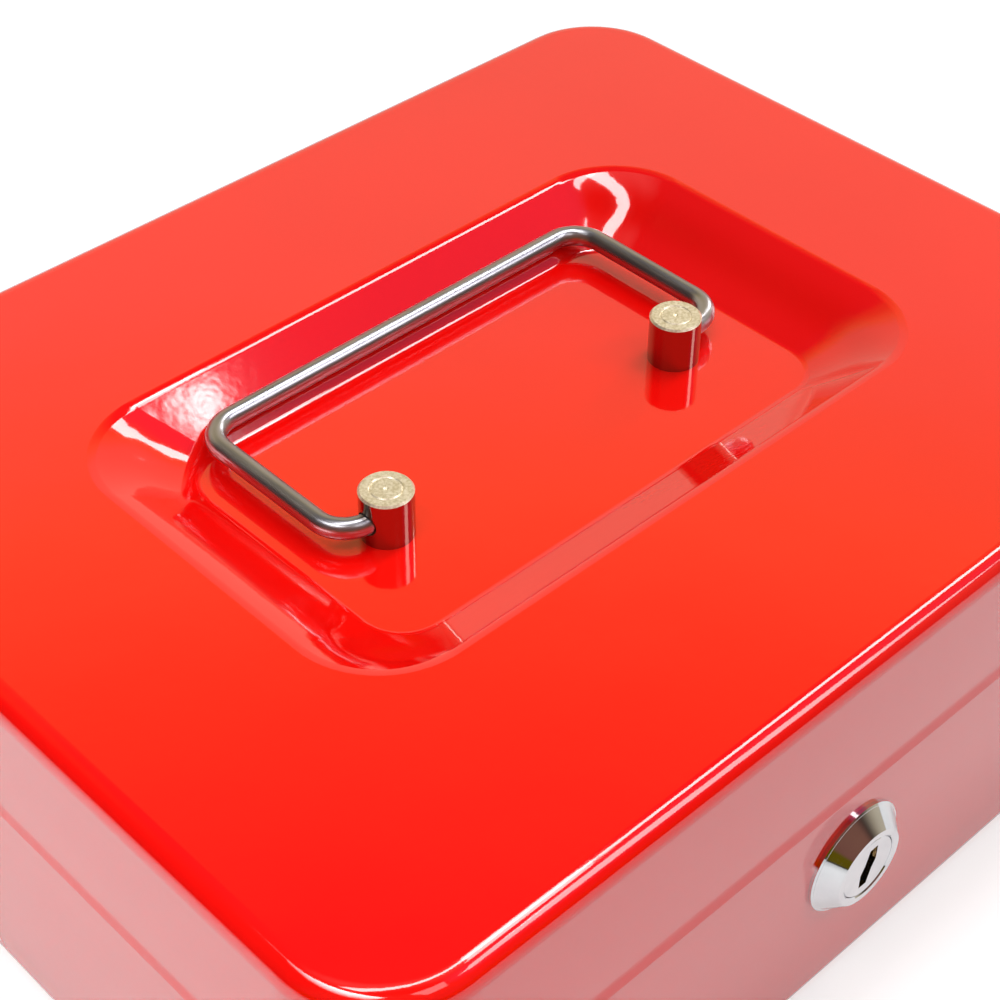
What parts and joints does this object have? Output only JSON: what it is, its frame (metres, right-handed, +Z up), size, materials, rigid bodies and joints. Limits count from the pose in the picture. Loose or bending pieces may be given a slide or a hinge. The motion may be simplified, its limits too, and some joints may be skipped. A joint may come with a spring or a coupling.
{
  "type": "cash box",
  "caption": "Lockable steel cash box: rounded pan and hinged lid with a sunk well, folding wire carry handle, cam lock in the front and a lift-out coin tray.",
  "frame": {"origin": "middle of the underside, on the surface that the box stands on", "axes": "+X to the right along the front, +Y from the lock to the hinges, +Z up"},
  "size_m": [0.251, 0.2088, 0.0908],
  "materials": {
    "red_enamel": "gloss",
    "handle_wire": "satin drawn wire",
    "post_nickel": "turned, nickel plated",
    "lock_chrome": "polished",
    "zinc_plate": "dull zinc",
    "wafer_brass": "stamped",
    "tray_plastic": "moulded, fine grain"
  },
  "bodies": {
    "body": {"body_pan": "red_enamel", "hinge_leaf_body_left": "red_enamel", "hinge_leaf_body_right": "red_enamel", "hinge_pin_left": "zinc_plate", "hinge_pin_right": "zinc_plate", "lock_housing": "lock_chrome", "lock_washer": "zinc_plate", "lock_nut": "zinc_plate"},
    "lid": {"lid_shell": "red_enamel", "hinge_leaf_lid_left": "red_enamel", "hinge_leaf_lid_right": "red_enamel", "lid_catch": "red_enamel", "handle_post_left": "post_nickel", "handle_post_right": "post_nickel", "post_washers": "zinc_plate"},
    "handle": {"carry_handle": "handle_wire"},
    "lock_core": {"lock_plug": "lock_chrome", "lock_wafers": "wafer_brass", "lock_cam": "zinc_plate", "cam_washer": "zinc_plate", "cam_screw": "zinc_plate"},
    "tray": {"coin_tray": "tray_plastic"}
  },
  "joints": [
    {"name": "lid_hinge", "type": "hinge", "parent": "body", "child": "lid", "pos_m": [0, 0.1022, 0.0562], "axis": [-1, 0, 0], "range_deg": [0, 100]},
    {"name": "handle_swing", "type": "hinge", "parent": "lid", "child": "handle", "pos_m": [0, -0.0073, 0.085], "axis": [1, 0, 0], "range_deg": [0, 169]},
    {"name": "lock_turn", "type": "hinge", "parent": "body", "child": "lock_core", "pos_m": [-0.006, -0.1, 0.0367], "axis": [0, 1, 0], "range_deg": [0, 90]},
    {"name": "tray_lift", "type": "slide", "parent": "body", "child": "tray", "axis": [0, 0, 1], "range_m": [0, 0.008]}
  ]
}
